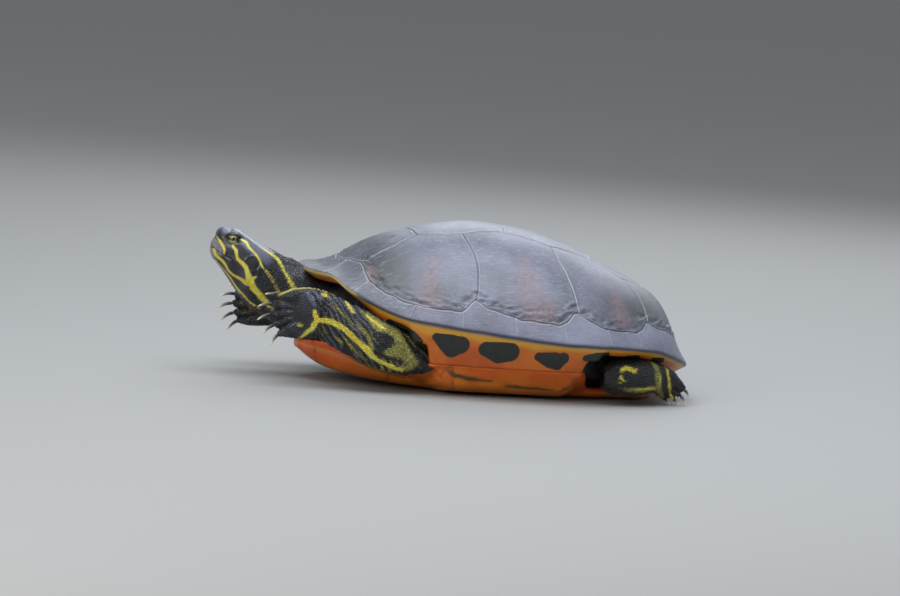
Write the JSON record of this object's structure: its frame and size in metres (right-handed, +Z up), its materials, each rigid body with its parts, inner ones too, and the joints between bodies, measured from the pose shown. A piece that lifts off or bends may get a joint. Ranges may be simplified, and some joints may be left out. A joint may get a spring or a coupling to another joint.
{
  "type": "red-bellied cooter turtle",
  "caption": "Life-size still model of an adult freshwater turtle basking with its neck raised, its shell high and domed and its feet pulled in beside it.",
  "frame": {"origin": "on the floor, in the plane that divides left from right, 140 mm behind the front rim of the carapace", "axes": "+X towards the tail, so the head looks along -X; +Z up; the turtle's left side is towards -Y"},
  "size_m": [0.3449, 0.204, 0.1157],
  "materials": {
    "carapace_horn": "smooth, slightly shiny near-black horn with faint reddish bars",
    "plastron_horn": "smooth orange-red horn, yellow along the rim, with dark oval blotches under the marginal plates",
    "skin": "near-black scaly skin with yellow stripes",
    "beak_horn": "smooth olive horn with a yellow stripe",
    "claw_horn": "pale horn with dark roots",
    "eye": "wet, pale green iris with a dark bar"
  },
  "bodies": {
    "root": {"carapace": "carapace_horn", "plastron": "plastron_horn", "head": "skin", "neck": "skin", "trunk": "skin", "tail": "skin", "upper_arm_left": "skin", "forearm_left": "skin", "forefoot_left": "skin", "thigh_left": "skin", "shank_left": "skin", "hindfoot_left": "skin", "upper_arm_right": "skin", "forearm_right": "skin", "forefoot_right": "skin", "thigh_right": "skin", "shank_right": "skin", "hindfoot_right": "skin", "upper_beak": "beak_horn", "lower_beak": "beak_horn", "eye_left": "eye", "eye_right": "eye", "claw_fore_left_1": "claw_horn", "claw_fore_left_2": "claw_horn", "claw_fore_left_3": "claw_horn", "claw_fore_left_4": "claw_horn", "claw_fore_left_5": "claw_horn", "claw_hind_left_1": "claw_horn", "claw_hind_left_2": "claw_horn", "claw_hind_left_3": "claw_horn", "claw_hind_left_4": "claw_horn", "claw_fore_right_1": "claw_horn", "claw_fore_right_2": "claw_horn", "claw_fore_right_3": "claw_horn", "claw_fore_right_4": "claw_horn", "claw_fore_right_5": "claw_horn", "claw_hind_right_1": "claw_horn", "claw_hind_right_2": "claw_horn", "claw_hind_right_3": "claw_horn", "claw_hind_right_4": "claw_horn"}
  },
  "joints": []
}
